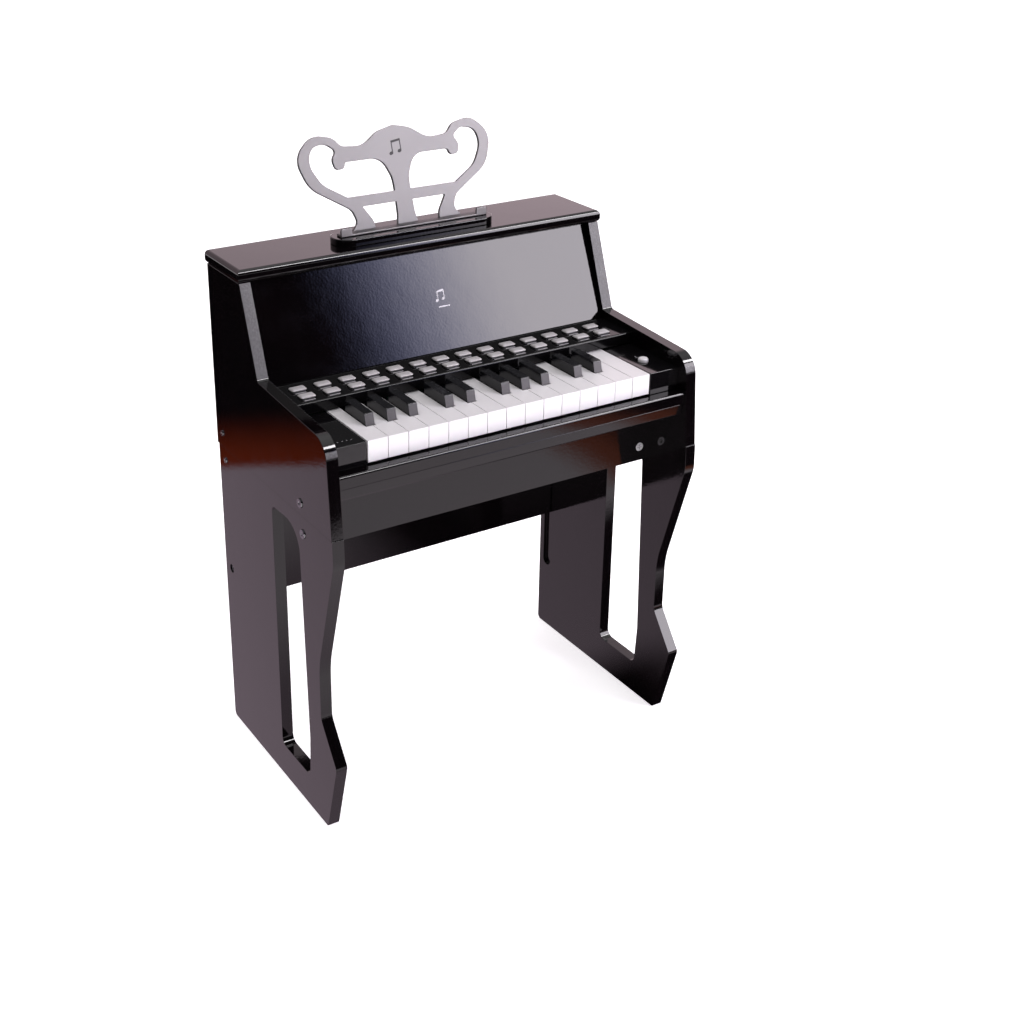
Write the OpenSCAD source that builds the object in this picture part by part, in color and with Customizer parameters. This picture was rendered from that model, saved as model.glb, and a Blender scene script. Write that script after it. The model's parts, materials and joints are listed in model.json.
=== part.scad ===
// Toy upright keyboard: a lacquered board body on two panel legs, 25 sprung keys,
// 28 sound buttons, a power button and a lyre-shaped music stand.
// +X is the player's right, +Y the rear, +Z up. Z = 0 is the floor.
// Lengths named *_d are measured forward from the rear edges of the side panels.

/* [Overall] */
// Width over the two side panels
body_w = 449; // [420:1:560]
// Depth from the rear edges of the side panels to the foremost point of the legs
body_depth = 278.5; // [260:0.5:360]
// Height of the top of the lid
body_h = 574.5; // [520:0.5:700]
// Height of the seam between the legs and the upper side panels
seam_z = 354; // [300:1:356]
// Thickness of the side panels and the legs
side_t = 13; // [9:0.5:15]

/* [Lid] */
// Thickness of the lid
lid_t = 14; // [10:0.5:20]
// Overhang of the lid beyond the side panels, left and right
lid_over_x = 1.5; // [0:0.5:10]
// Overhang of the lid beyond the rear edges of the sides
lid_over_rear = 1.5; // [0:0.5:6]
// Overhang of the lid in front of the slanted edges of the sides
lid_over_front = 2.5; // [0:0.5:10]
// Radius of the lid's rounded edges
lid_edge_r = 5; // [2:0.5:6]

/* [Boards] */
// Slope of the side panels' upper front edges, from vertical
side_slope = 20; // [12:1:26]
// Distance of the front panel's face behind the side panels' slanted edges
panel_recess = 9; // [4:0.5:16]
// Thickness of the sloped front panel
panel_t = 6; // [4:0.5:12]
// Thickness of the back panel
back_t = 6; // [4:0.5:12]
// Distance of the back panel's outer face from the rear edges of the sides
back_inset = 4; // [0:0.5:10]
// Thickness of the key slip, the upper of the two boards under the keys
slip_t = 14; // [10:0.5:20]
// Thickness of the key bed, the lower of the two boards
bed_t = 13; // [9:0.5:18]
// Height of the key bed's underside
bed_z = 389; // [380:1:420]
// Depth of the apron's front face behind the foremost point of the body
apron_back = 62.5; // [55:0.5:70]
// Height of the apron
apron_h = 71.4; // [66:0.1:90]
// Thickness of the apron and of the stretcher
rail_t = 12; // [9:0.5:15]
// Height of the stretcher's lower edge
stretcher_z = 165; // [110:1:200]
// Height of the stretcher
stretcher_h = 120; // [50:1:140]
// Depth of the groove in each leg that takes the stretcher
groove_depth = 4; // [2:0.5:6]
// Side clearance of the stretcher in its groove, front and rear
groove_gap = 1.5; // [0.2:0.1:2]

/* [Keys] */
// Distance between neighbouring white keys
key_pitch = 23; // [18:0.1:25]
// Gap between neighbouring keys
key_gap = 0.8; // [0.6:0.1:1.2]
// Length of a white key in front of the button panel
key_visible = 85.6; // [70:0.1:100]
// Height of a white key's front face
key_face_h = 23; // [18:0.5:26]
// Height of the key fronts' lower edges above the key slip
key_lift = 2; // [1:0.5:4]
// Wall thickness of the moulded keys
key_wall = 2.4; // [1.6:0.1:3]
// Width of a black key at its top
black_w = 10; // [8:0.1:12]
// Height of the black keys above the white keys
black_h = 12; // [8:0.5:16]
// Length of a black key's flat top
black_top_l = 41; // [30:0.5:55]
// Forward slope of a black key's front face, from top to bottom
black_slope_l = 4; // [1:0.5:10]
// Distance of the key rod behind the button panel's front edge
rod_back = 46; // [30:0.5:52]
// Diameter of the key rod
rod_dia = 4; // [3:0.1:6]
// Radial clearance of the keys on the rod
rod_clear = 0.05; // [0.02:0.01:0.1]
// Downward travel of a white key's front edge
key_travel = 5; // [2:0.1:6]

/* [Buttons] */
// Depth of the button panel in front of the sloped panel
strip_l = 54.5; // [48:0.5:70]
// Height of the button panel's top above the white keys
strip_rise = 14; // [12:0.5:20]
// Wall thickness of the button panel and the cheeks
shell_t = 2.5; // [1.6:0.1:4]
// Number of buttons in each of the two rows
button_cols = 14; // [14:14:14]
// Distance between neighbouring buttons in a row
button_pitch = 28.35; // [24:0.05:30]
// Sideways offset of the two rows from the middle
button_shift = -4; // [-6:0.5:6]
// Distance between the two rows
row_pitch = 21; // [17:0.5:22]
// Distance of the front row's centre line behind the panel's front edge
row_back = 14; // [9:0.1:16]
// Width of a button
button_w = 17; // [12:0.5:20]
// Depth of a button
button_l = 11; // [8:0.5:13]
// Height of a button above its panel
button_rise = 3.5; // [3:0.1:7]
// Travel of a button
button_travel = 1.5; // [0.8:0.1:2]
// Side clearance of a button in its window
button_gap = 0.4; // [0.3:0.1:0.8]
// Diameter of the power button
power_dia = 11.5; // [8:0.5:14]
// Height of the power button above its cheek
power_rise = 4; // [3:0.5:7]
// Travel of the power button
power_travel = 1.5; // [0.8:0.1:2]

/* [Music stand] */
// Length of the stand's foot plate
stand_w = 198; // [160:1:240]
// Depth of the foot plate
stand_l = 38; // [30:1:50]
// Thickness of the foot plate
stand_t = 8; // [5:0.5:12]
// Distance of the foot plate's rear edge from the rear edges of the sides
stand_d = 32; // [10:1:40]
// Sideways offset of the foot plate and the paper ledge from the middle
stand_shift = -3; // [-6:0.5:6]
// Sideways offset of the lyre from the middle
lyre_shift = -6; // [-8:0.5:8]
// Backward tilt of the lyre
lyre_tilt = 18; // [10:1:25]
// Thickness of the lyre
lyre_t = 4; // [3:0.5:8]
// Thickness of the paper ledge
ledge_t = 2.5; // [2:0.5:5]
// Depth of the paper ledge
ledge_l = 11; // [8:0.5:14]

/* [Works] */
// Diameter of the loudspeaker
speaker_dia = 66; // [50:1:80]
// Diameter of an AA cell
cell_dia = 14.2; // [14:0.1:14.6]
// Length of an AA cell
cell_l = 50; // [49:0.1:51]
// Wall thickness of the battery box
box_wall = 2; // [1.5:0.1:3]

/* [Hidden] */
$fn = 48;
WHITES = 15;
// White keys, counted from 0, that have a black key on their right, and that
// black key's sideways offset from the boundary
BLACKS = [[0, -2], [1, 0], [2, 2], [4, -1.5], [5, 1.5], [7, -2], [8, 0], [9, 2],
          [11, -1.5], [12, 1.5]];

function two(n) = n < 10 ? str("0", n) : str(n);
WHITE_NAMES = [for (i = [1:WHITES]) str("white_key_", two(i))];
BLACK_NAMES = [for (i = [1:len(BLACKS)]) str("black_key_", two(i))];
GROUP_NAMES = ["buttons_rear_left", "buttons_rear_right", "buttons_front_left",
               "buttons_front_right"];

// Colours
BLACK = [0.03, 0.025, 0.03];
WHITE = [0.95, 0.94, 0.94];
GREY = [0.7, 0.69, 0.7];
STEEL = [0.62, 0.62, 0.64];
GREEN = [0.05, 0.3, 0.16];

// The origin is the centre of the whole footprint, lid overhang included
back_y = (body_depth - lid_over_rear) / 2;
function yd(d) = back_y - d;

inner_x = body_w / 2 - side_t;
lid_z = body_h - lid_t;
slip_z = bed_z + bed_t;
slip_top = slip_z + slip_t;

// Keys
key_front_d = body_depth - 22.5;
cheek_rear_d = key_front_d - key_visible - 28;
key_z0 = slip_top + key_lift;
key_top = key_z0 + key_face_h;
strip_front_d = key_front_d - key_visible;
strip_rear_d = strip_front_d - strip_l;
strip_z = key_top + strip_rise;
keys_x0 = -WHITES * key_pitch / 2;
rod_d = strip_front_d - rod_back;
rod_z = key_top - 7;
rod_r = rod_dia / 2;
boss_r = rod_r + 2.8;
key_body_h = 12;
plunger_d = key_front_d - 66;
plunger_z = key_z0 + 1.5;
plunger_half = 2;
plunger_drop = key_travel * (plunger_d - rod_d) / (key_front_d - rod_d);
dome_top = plunger_z - 0.5;
black_cut = black_w / 2 + key_gap;
black_top_d = strip_front_d + 8.6;
black_front_d = black_top_d + black_top_l;
cheek_x = WHITES * key_pitch / 2 + 1.2;

// Upper side panels: the slanted edge runs down to a knee, then a shoulder runs to
// a rounded nose over the key slip
knee_d = strip_front_d - 53.4;
knee_r = 5;
knee_z = strip_z + 10;
shoulder_d = body_depth - 10;
shoulder_z = strip_z + 1;
side_top_d = knee_d - (lid_z - knee_z) * tan(side_slope);
seam_front_d = body_depth - 2;

// Sloped front panel
panel_d0 = strip_rear_d - 0.5;
panel_top_d = side_top_d - panel_recess;

// Rails
apron_d = body_depth - apron_back;
groove_w = rail_t + 2 * groove_gap;
stretcher_d = 14;
groove_d = stretcher_d - groove_gap;
groove_foot_z = stretcher_z - 78;

// Fasteners: [distance forward, height, head radius, shank radius]
side_bolt = [body_depth - 70.5, seam_z + 13, 5, 2.8];
leg_bolt = [body_depth - 66.5, seam_z - 20, 5, 2.8];
rear_side_screw = [15, seam_z + 16, 3.2, 1.8];
rear_leg_screw = [20, seam_z - 15, 3.2, 1.8];
stretcher_bolt = [stretcher_d + rail_t / 2, stretcher_z + 39, 4.4, 2];
stretcher_bolt_l = 30;
head_inset = 4;
bore_gap = 0.05;
head_h = 1.2;
nut_r = 5;
nut_x = inner_x - 15.5;
bolt_past_nut = 7;
plate_t = 2;
plate_rear = [back_inset + back_t + 1, 18];
plate_below = 32;
plate_above = 28;

// Buttons and circuit boards
pcb_t = 1.6;
dome_h = 1;
flange = 1.3;
flange_t = 2;
flange_gap = 0.3;
button_flange_z = strip_z - shell_t - flange_gap - flange_t;
button_pcb_z = button_flange_z - button_travel - dome_h - pcb_t - 0.1;
key_pcb_z = dome_top - plunger_drop - 6.9 - pcb_t;
button_r = 2;
button_crown = 1.2;
button_row_half = (button_cols - 1) / 2 * button_pitch;
button_post_x = button_row_half + button_w / 2 + flange + 3.9;
rear_row_d = strip_front_d - row_back - row_pitch;
front_row_d = strip_front_d - row_back;
power_x = (cheek_x + inner_x) / 2 - 1.7;
power_d = key_front_d - 35.6;
power_r = power_dia / 2;
power_gap = 0.3;
power_stem = 3;
power_flange_z = key_top - shell_t - 0.4 - flange_t;
switch_z = power_flange_z - power_stem - power_travel - 0.3;

// Music stand
stand_z = body_h + stand_t;
lyre_d = stand_d + 14;
ledge_half = 91.5;
ledge_gap = 0.05;
ledge_d = lyre_d + ledge_t * tan(lyre_tilt) + ledge_gap;
ledge_tab_w = 14;
ledge_tab_h = 7;
ledge_tab_t = 2.5;

// Back panel openings
speaker_x = -inner_x / 2;
speaker_z = (strip_z + lid_z) / 2 - 4;
speaker_r = speaker_dia / 2;
back_inner_d = back_inset + back_t;
box_x = inner_x / 2;
box_w = 4 * (cell_dia + 0.6) + 2 * box_wall;
box_h = cell_l + 14;
box_depth = cell_dia + 2 * box_wall + 0.6;
box_z = strip_z + 14;
door_gap = 0.4;

// ---------- helpers ----------

// A closed outline whose corners [x, y, r] are replaced by arcs of radius r
function unit(v) = v / norm(v);
function corner_arc(a, p, b, r, n) =
    let (u = unit(a - p), v = unit(b - p),
         half = acos(max(-1, min(1, u * v))) / 2,
         room = 0.48 * min(norm(a - p), norm(b - p)),
         rr = min(r, room * tan(half)),
         c = p + unit(u + v) * rr / sin(half),
         p0 = p + u * rr / tan(half) - c,
         p1 = p + v * rr / tan(half) - c,
         a0 = atan2(p0.y, p0.x),
         turn = atan2(p0.x * p1.y - p0.y * p1.x, p0 * p1))
    [for (k = [0:n]) c + rr * [cos(a0 + turn * k / n), sin(a0 + turn * k / n)]];
function rounded(pts, n = 8) =
    [for (i = [0:len(pts) - 1])
        let (a = pts[(i + len(pts) - 1) % len(pts)], p = pts[i],
             b = pts[(i + 1) % len(pts)])
        each p.z > 0
            ? corner_arc([a.x, a.y], [p.x, p.y], [b.x, b.y], p.z, n)
            : [[p.x, p.y]]];
// The same outline given as [distance forward, height, r], in the Y-Z plane
function side_on(pts) = [for (p = pts) [yd(p.x), p.y, p.z]];

// A plate of thickness t whose outline lies in the Y-Z plane, from x0 towards +X
module plate_yz(outline, x0, t) {
    translate([x0, 0, 0]) rotate([90, 0, 90]) linear_extrude(t) polygon(outline);
}

// A box given by its range in X, distance forward and Z
module block(x, d, z) {
    translate([x[0], yd(d[1]), z[0]]) cube([x[1] - x[0], d[1] - d[0], z[1] - z[0]]);
}

// A rod along X
module rod_x(x, d, z, r) {
    translate([x[0], yd(d), z]) rotate([0, 90, 0]) cylinder(r = r, h = x[1] - x[0]);
}

module mirrored(side) {
    if (side > 0) children();
    else mirror([1, 0, 0]) children();
}

// ---------- wooden body ----------

side_outline = rounded(side_on([
    [0, seam_z, 0],
    [0, lid_z, 0],
    [side_top_d, lid_z, 0],
    [knee_d, knee_z, knee_r],
    [shoulder_d, shoulder_z, 24],
    [seam_front_d, seam_z, 0]]), 10);

module side_panel() {
    difference() {
        plate_yz(side_outline, inner_x, side_t);
        for (b = [side_bolt, rear_side_screw])
            rod_x([inner_x - 1, inner_x + side_t + 1], b[0], b[1], b[3] + bore_gap);
    }
}

leg_outline = rounded(side_on([
    [4, 0, 6],
    [4, seam_z, 0],
    [body_depth - 1, seam_z, 0],
    [body_depth, seam_z - 28, 40],
    [body_depth - 39, seam_z * 0.55, 110],
    [body_depth - 39, 130, 16],
    [body_depth - 6.5, 86, 8],
    [body_depth - 30.5, 0, 3]]), 8);

// The tall opening in each leg
opening_rear_d = 139;
opening_foot_z = 40;
opening_top_z = seam_z - 17;
opening_outline = rounded(side_on([
    [opening_rear_d, opening_foot_z, 9],
    [opening_rear_d, opening_top_z - 2, 7],
    [body_depth - 76.5, opening_top_z, 34],
    [body_depth - 67.5, 90, 60],
    [body_depth - 70.5, opening_foot_z, 9]]), 8);

module leg_panel() {
    difference() {
        plate_yz(leg_outline, inner_x, side_t);
        plate_yz(opening_outline, inner_x - 1, side_t + 2);
        block([inner_x - 1, inner_x + groove_depth],
              [groove_d, groove_d + groove_w],
              [groove_foot_z + groove_w / 2, stretcher_z + stretcher_h + 12]);
        rod_x([inner_x - 1, inner_x + groove_depth],
              groove_d + groove_w / 2, groove_foot_z + groove_w / 2, groove_w / 2);
        for (b = [leg_bolt, rear_leg_screw, stretcher_bolt])
            rod_x([inner_x - 1, inner_x + side_t + 1], b[0], b[1], b[3] + bore_gap);
        rod_x([inner_x + side_t - head_inset, inner_x + side_t + 1],
              stretcher_bolt[0], stretcher_bolt[1], stretcher_bolt[2] + 0.6);
    }
}

module side_left() { color(BLACK) mirrored(-1) side_panel(); }
module side_right() { color(BLACK) mirrored(1) side_panel(); }
module leg_left() { color(BLACK) mirrored(-1) leg_panel(); }
module leg_right() { color(BLACK) mirrored(1) leg_panel(); }

module top_lid() {
    half_w = body_w / 2 + lid_over_x;
    front = side_top_d + lid_over_front;
    section = rounded(side_on([
        [-lid_over_rear, lid_z, 1], [-lid_over_rear, body_h, 1],
        [front, body_h, lid_edge_r], [front, lid_z, lid_edge_r]]), 6);
    face = rounded([[-half_w, lid_z, lid_edge_r], [-half_w, body_h, lid_edge_r],
                    [half_w, body_h, lid_edge_r], [half_w, lid_z, lid_edge_r]], 6);
    color(BLACK) intersection() {
        plate_yz(section, -half_w, 2 * half_w);
        translate([0, back_y + lid_over_rear, 0]) rotate([90, 0, 0])
            linear_extrude(front + lid_over_rear) polygon(face);
    }
}

module front_panel() {
    color(BLACK) plate_yz(rounded(side_on([
        [panel_d0, strip_z, 0], [panel_top_d, lid_z, 0],
        [panel_top_d - panel_t, lid_z, 0], [panel_d0 - panel_t, strip_z, 0]])),
        -inner_x, 2 * inner_x);
}

// Slots of the speaker grille, shorter towards the top and bottom
module grille_slots() {
    for (k = [-4:4]) {
        half = sqrt(pow(speaker_r - 4, 2) - pow(k * 6.5, 2));
        block([speaker_x - half, speaker_x + half], [back_inset - 1, back_inner_d + 1],
              [speaker_z + k * 6.5 - 1.4, speaker_z + k * 6.5 + 1.4]);
    }
}

module back_panel() {
    color(BLACK) difference() {
        block([-inner_x, inner_x], [back_inset, back_inner_d], [bed_z, lid_z]);
        grille_slots();
        block([box_x - box_w / 2 + 3, box_x + box_w / 2 - 3],
              [back_inset - 1, back_inner_d + 1], [box_z + 3, box_z + box_h - 3]);
        block([box_x - box_w / 2 - 2, box_x + box_w / 2 + 2],
              [back_inset - 1, back_inset + box_wall + door_gap],
              [box_z - 2, box_z + box_h + 2]);
    }
}

module key_slip() {
    front = body_depth - 9;
    color(BLACK) plate_yz(rounded(side_on([
        [key_front_d + 1, slip_z, 0], [key_front_d + 1, slip_top, 0.6],
        [front, slip_top, 2.5], [front - 0.5, slip_z, 1]]), 5),
        -inner_x, 2 * inner_x);
}

module key_bed() {
    front = body_depth - 11;
    color(BLACK) plate_yz(rounded(side_on([
        [back_inner_d, bed_z, 0], [back_inner_d, slip_z, 0],
        [front, slip_z, 1], [front - 1.5, bed_z, 2]]), 5),
        -inner_x, 2 * inner_x);
}

// The apron is held at each end by two bolts that cross a barrel nut in its face
module front_apron() {
    color(BLACK) difference() {
        block([-inner_x, inner_x], [apron_d - rail_t, apron_d],
              [bed_z - apron_h, bed_z]);
        for (s = [-1, 1], b = [side_bolt, leg_bolt]) mirrored(s) {
            rod_x([nut_x - bolt_past_nut - 1, inner_x + 1], b[0], b[1], b[3] + bore_gap);
            barrel(b[1], nut_r + bore_gap, 1);
        }
    }
}

module rear_stretcher() {
    half = inner_x + groove_depth;
    color(BLACK) difference() {
        block([-half, half], [stretcher_d, stretcher_d + rail_t],
              [stretcher_z, stretcher_z + stretcher_h]);
        for (s = [-1, 1]) mirrored(s)
            rod_x([half - stretcher_bolt_l, half + 1], stretcher_bolt[0], stretcher_bolt[1],
                  stretcher_bolt[3] + bore_gap);
    }
}

// ---------- fasteners ----------

// One screw through a panel: head outside with a hexagon socket
module panel_bolt(b, reach) {
    x_out = inner_x + side_t;
    difference() {
        union() {
            rod_x([x_out - reach, x_out], b[0], b[1], b[3]);
            rod_x([x_out, x_out + head_h], b[0], b[1], b[2]);
        }
        translate([x_out + 0.3, yd(b[0]), b[1]]) rotate([0, 90, 0])
            cylinder(r = b[2] * 0.45, h = head_h, $fn = 6);
    }
}

// A round bar at height z through the apron, longer by extra at both ends
module barrel(z, r, extra) {
    translate([nut_x, yd(apron_d - rail_t - extra), z]) rotate([90, 0, 0])
        cylinder(r = r, h = rail_t + 2 * extra);
}

// A barrel nut with a cross recess, bored for its bolt
module barrel_nut(b) {
    slot_l = 3;
    slot_w = 0.65;
    slot_t = 0.9;
    difference() {
        barrel(b[1], nut_r, 0);
        rod_x([nut_x - nut_r - 1, nut_x + nut_r + 1], b[0], b[1], b[3] + bore_gap);
        block([nut_x - slot_l, nut_x + slot_l], [apron_d - slot_t, apron_d + 1],
              [b[1] - slot_w, b[1] + slot_w]);
        block([nut_x - slot_w, nut_x + slot_w], [apron_d - slot_t, apron_d + 1],
              [b[1] - slot_l, b[1] + slot_l]);
    }
}

module frame_bolts() {
    color(STEEL) for (s = [-1, 1]) mirrored(s) {
        for (b = [side_bolt, leg_bolt]) {
            panel_bolt(b, side_t + inner_x - nut_x + bolt_past_nut);
            barrel_nut(b);
        }
        for (b = [rear_side_screw, rear_leg_screw])
            panel_bolt(b, side_t + plate_t);
    }
}

module joining_plates() {
    color(BLACK) for (s = [-1, 1]) mirrored(s) difference() {
        block([inner_x - plate_t, inner_x], [plate_rear[0], plate_rear[0] + plate_rear[1]],
              [seam_z - plate_below, seam_z + plate_above]);
        for (b = [rear_side_screw, rear_leg_screw])
            rod_x([inner_x - plate_t - 1, inner_x + 1], b[0], b[1], b[3] + bore_gap);
    }
}

module stretcher_bolts() {
    b = stretcher_bolt;
    x_seat = inner_x + side_t - head_inset;
    color(STEEL) for (s = [-1, 1]) mirrored(s) difference() {
        union() {
            rod_x([x_seat - stretcher_bolt_l, x_seat], b[0], b[1], b[3]);
            rod_x([x_seat, x_seat + 2.5], b[0], b[1], b[2]);
        }
        translate([x_seat + 1, yd(b[0]), b[1]]) rotate([0, 90, 0])
            cylinder(r = 2, h = 3, $fn = 6);
    }
}

// ---------- music stand ----------

module stand_base() {
    r = stand_l / 2;
    half = stand_w / 2 - r;
    color(BLACK) translate([stand_shift, yd(stand_d + r), body_h]) union() {
        for (s = [-1, 1]) translate([s * half, 0, 0]) cylinder(r = r, h = stand_t);
        translate([-half, -r, 0]) cube([2 * half, stand_l, stand_t]);
    }
}

module stand_ledge() {
    w = ledge_tab_w;
    h = ledge_tab_h;
    color(BLACK) translate([stand_shift, 0, 0]) {
        block([-ledge_half, ledge_half], [ledge_d, ledge_d + ledge_l],
              [stand_z, stand_z + ledge_t]);
        for (s = [-1, 1]) mirrored(s)
            translate([ledge_half - w, yd(ledge_d + ledge_l), stand_z + ledge_t])
                rotate([90, 0, 0]) mirror([0, 0, 1]) linear_extrude(ledge_tab_t)
                    polygon(rounded([[0, 0, 0], [w, 0, 0], [w, h, 2], [0, h, 2]], 4));
    }
}

// Right half of the lyre: outline from the foot up to the crest, and its openings.
// Each corner is [x, height above the ledge, r].
LYRE_OUTER = [
    [0, -6, 0], [68, -6, 0], [67, 0, 0], [60, 8, 14], [65, 22, 16], [110, 50, 34],
    [122, 84, 34], [98, 105.5, 20], [74, 100, 16], [66, 90, 10], [40, 88, 26],
    [20, 101.5, 30], [0, 106, 0]];
LYRE_UPPER = [
    [9.6, 35.5, 1], [10, 50, 30], [20, 73, 22], [64, 73, 3],
    [66, 66, 5], [76, 66, 5], [79, 78, 10], [72, 86, 10], [84, 95, 12],
    [102, 92.5, 13], [107, 74, 26], [95, 52, 30], [68, 35.5, 2]];
LYRE_LOWER = [
    [10, 23.8, 0.5], [10.5, 10, 14], [13.5, -7, 0], [40, -7, 0], [40.5, 6, 20],
    [52, 23.8, 1]];

module lyre_half() {
    difference() {
        polygon(rounded(LYRE_OUTER, 8));
        polygon(rounded(LYRE_UPPER, 7));
        polygon(rounded(LYRE_LOWER, 6));
    }
}

module stand_lyre() {
    color(BLACK) difference() {
        translate([lyre_shift, yd(lyre_d), stand_z + ledge_t])
            rotate([90 - lyre_tilt, 0, 0])
            mirror([0, 0, 1]) linear_extrude(lyre_t) {
                lyre_half();
                mirror([1, 0]) lyre_half();
            }
        block([-200, 200], [-100, 200], [stand_z - 50, stand_z]);
    }
}

// ---------- keyboard ----------

module cheek(with_button) {
    color(BLACK) difference() {
        block([cheek_x, inner_x], [cheek_rear_d, key_front_d], [slip_z, key_top]);
        block([cheek_x + shell_t, inner_x - shell_t],
              [cheek_rear_d + shell_t, key_front_d - shell_t],
              [slip_z - 1, key_top - shell_t]);
        if (with_button) {
            translate([power_x, yd(power_d), key_top - shell_t - 1])
                cylinder(r = power_r + power_gap, h = shell_t + 2);
            block([cheek_x - 1, cheek_x + shell_t + 1], [plunger_d - 15, power_d + 14],
                  [slip_z - 1, key_pcb_z + pcb_t + 1]);
        }
    }
}

module cheek_left() { mirrored(-1) cheek(false); }
module cheek_right() { cheek(true); }

function button_x(i) = button_shift - button_row_half + i * button_pitch;

module button_panel() {
    rear = strip_rear_d - panel_t - 2;
    riser_z = key_top + 1.5;
    color(BLACK) difference() {
        plate_yz(rounded(side_on([
            [rear, strip_z - shell_t, 0], [rear, strip_z, 0],
            [strip_front_d, strip_z, 2], [strip_front_d, riser_z, 0.5],
            [strip_front_d - shell_t, riser_z, 0],
            [strip_front_d - shell_t, strip_z - shell_t, 0]]), 4),
            -inner_x, 2 * inner_x);
        for (i = [0:button_cols - 1], d = [rear_row_d, front_row_d])
            translate([button_x(i), yd(d), strip_z - shell_t - 1])
                linear_extrude(shell_t + 2)
                    polygon(button_outline(button_gap));
    }
}

function button_outline(grow) =
    let (w = button_w / 2 + grow, l = button_l / 2 + grow)
    rounded([[-w, -l, button_r], [w, -l, button_r], [w, l, button_r],
             [-w, l, button_r]], 4);

// One button: cap through the window, flange below the panel
module button_cap(i, d) {
    crown_z = strip_z + button_rise - button_crown;
    translate([button_x(i), yd(d), button_flange_z]) {
        linear_extrude(crown_z - button_flange_z) polygon(button_outline(0));
        translate([0, 0, crown_z - button_flange_z]) linear_extrude(button_crown)
            polygon(button_outline(-1));
        linear_extrude(flange_t) polygon(button_outline(flange));
    }
}

module button_group(row, half) {
    color(GREY) for (i = [0:button_cols / 2 - 1])
        button_cap(i + half * button_cols / 2, row == 0 ? rear_row_d : front_row_d);
}

module power_button() {
    flange_z = power_flange_z;
    color(WHITE) translate([power_x, yd(power_d), 0]) rotate_extrude() polygon([
        [0, flange_z - power_stem], [2, flange_z - power_stem], [2, flange_z],
        [power_r + 1.5, flange_z], [power_r + 1.5, flange_z + flange_t],
        [power_r, flange_z + flange_t], [power_r, key_top + power_rise - 2],
        [power_r - 0.7, key_top + power_rise - 0.9],
        [power_r - 2.4, key_top + power_rise - 0.2], [0, key_top + power_rise]]);
}

// Chassis: a floor on the key bed and two brackets that carry the rod
module key_frame() {
    wall_x = WHITES * key_pitch / 2 + 0.2;
    color(BLACK) {
        difference() {
            block([-wall_x, wall_x], [rod_d - 12, key_front_d - 12],
                  [slip_z, slip_z + 2]);
            block([-wall_x + 8, wall_x - 8], [plunger_d - 8, plunger_d + 8],
                  [slip_z - 1, slip_z + 3]);
        }
        for (s = [-1, 1]) mirrored(s) difference() {
            block([wall_x, wall_x + 3], [rod_d - 12, rod_d + 10],
                  [slip_z, rod_z + boss_r]);
            rod_x([wall_x - 1, wall_x + 4], rod_d, rod_z, rod_r + rod_clear);
        }
        // Posts that carry the key board
        for (x = [-wall_x + 4, -key_pitch, key_pitch, wall_x - 4], d = [-11, 11])
            translate([x, yd(plunger_d + d), slip_z + 2])
                cylinder(r = 2.5, h = key_pcb_z - slip_z - 2);
    }
}

module key_rod() {
    half = WHITES * key_pitch / 2 + 4.2;
    color(STEEL) rod_x([-half, half], rod_d, rod_z, rod_r);
}

function white_x0(i) = keys_x0 + i * key_pitch + key_gap / 2;
function white_x1(i) = keys_x0 + (i + 1) * key_pitch - key_gap / 2;
function black_x(k) = keys_x0 + (BLACKS[k][0] + 1) * key_pitch + BLACKS[k][1];
// Index in BLACKS of the black key to the right of white key i, or undef
function black_after(i) =
    let (hits = [for (k = [0:len(BLACKS) - 1]) if (BLACKS[k][0] == i) k])
    len(hits) > 0 ? hits[0] : undef;
function left_cut(i) =
    let (k = i > 0 ? black_after(i - 1) : undef)
    is_undef(k) ? white_x0(i) : black_x(k) + black_cut;
function right_cut(i) =
    let (k = black_after(i)) is_undef(k) ? white_x1(i) : black_x(k) - black_cut;

// The stem under a key that presses its contact
module plunger(x, top) {
    block([x - plunger_half, x + plunger_half],
          [plunger_d - plunger_half, plunger_d + plunger_half], [plunger_z, top]);
}

// A white key: a hollow moulding, notched for its black neighbours, with a front
// face, a boss on the rod and a plunger over its contact
module white_key(i) {
    notch_d = black_front_d + black_slope_l + key_gap;
    x0 = white_x0(i);
    x1 = white_x1(i);
    l = left_cut(i);
    r = right_cut(i);
    mid = (l + r) / 2;
    color(WHITE) difference() {
        union() {
            block([x0, x1], [notch_d, key_front_d], [key_z0, key_top]);
            block([l, r], [rod_d, notch_d], [key_top - key_body_h, key_top]);
            rod_x([l, r], rod_d, rod_z, boss_r);
            plunger(mid, key_top - 1);
        }
        block([x0 + key_wall, x1 - key_wall],
              [notch_d + key_wall, key_front_d - key_wall],
              [key_z0 - 1, key_top - key_wall]);
        difference() {
            block([l + key_wall, r - key_wall],
                  [rod_d + boss_r + 4, notch_d - key_wall],
                  [key_top - key_body_h - 1, key_top - key_wall]);
            plunger(mid, key_top);
        }
        rod_x([l - 1, r + 1], rod_d, rod_z, rod_r + rod_clear);
    }
}

// A black key: a tapered block with a sloped front on a lever to the rod
module black_key(k) {
    x = black_x(k);
    half = black_w / 2;
    front = black_front_d + black_slope_l;
    color(BLACK) difference() {
        union() {
            plate_yz(rounded(side_on([
                [black_top_d, key_top - 4, 0], [black_top_d, key_top + black_h, 1],
                [black_front_d, key_top + black_h, 1.5], [front, key_top - 4, 0]]), 4),
                x - half, black_w);
            block([x - half, x + half], [rod_d, front],
                  [key_top - key_body_h, key_top - 2]);
            rod_x([x - half, x + half], rod_d, rod_z, boss_r);
            plunger(x, key_top - 4);
        }
        rod_x([x - half - 1, x + half + 1], rod_d, rod_z, rod_r + rod_clear);
    }
}

// ---------- works ----------

// Middle of a white key where it passes between its black neighbours
function key_mid(i) = (left_cut(i) + right_cut(i)) / 2;

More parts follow.
